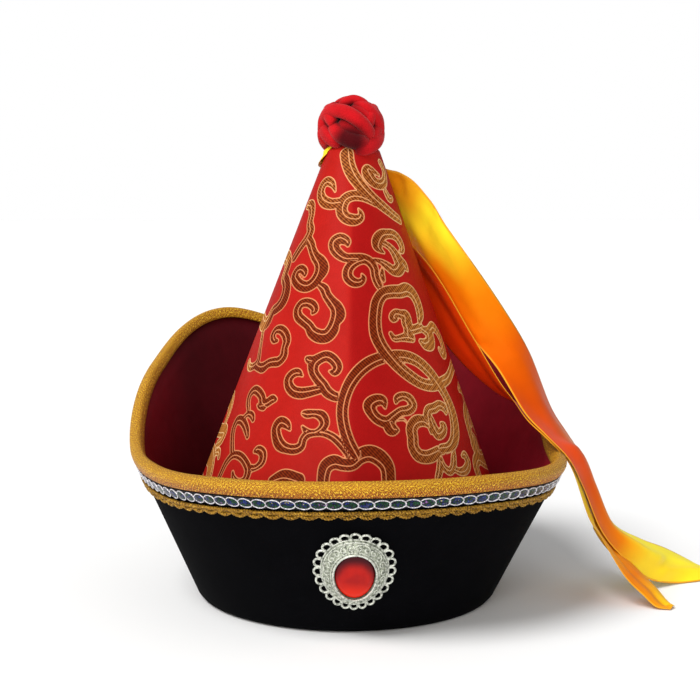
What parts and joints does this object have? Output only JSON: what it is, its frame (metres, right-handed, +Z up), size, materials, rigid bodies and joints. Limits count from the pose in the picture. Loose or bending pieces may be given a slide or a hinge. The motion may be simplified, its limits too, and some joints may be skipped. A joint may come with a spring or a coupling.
{
  "type": "mongolian hat",
  "caption": "Pointed brocade crown in a black upturned brim with gold binding, braid trims, an oval front medallion, a red cord knot on the tip and two orange ribbons that fall to one side.",
  "frame": {"origin": "middle of the bounding box of the whole hat with its ribbons, on the surface that the hat stands on", "axes": "+Z up, -Y to the front with the medallion, +X to the side that the ribbons fall to"},
  "size_m": [0.3762, 0.3236, 0.3065],
  "materials": {
    "brocade": "red brocade with a woven brown and gold cloud and vine pattern",
    "velvet": "black velvet",
    "lining": "wine-red satin lining",
    "gold_binding": "gold woven braid",
    "silver_braid": "silver chain braid with dark sequins",
    "gold_braid": "twisted gold braid",
    "silver": "cast and pierced silver-coloured metal",
    "red_stone": "polished red stone",
    "red_cord": "soft red cord",
    "satin": "orange satin"
  },
  "bodies": {
    "root": {"crown": "brocade", "brim_shell": "velvet", "brim_lining": "lining", "edge_binding": "gold_binding", "sequin_braid": "silver_braid", "scallop_braid": "gold_braid", "medallion": "silver", "stone": "red_stone", "top_knot": "red_cord", "ribbon_loop": "satin", "ribbon_outer": "satin", "ribbon_inner": "satin"}
  },
  "joints": []
}
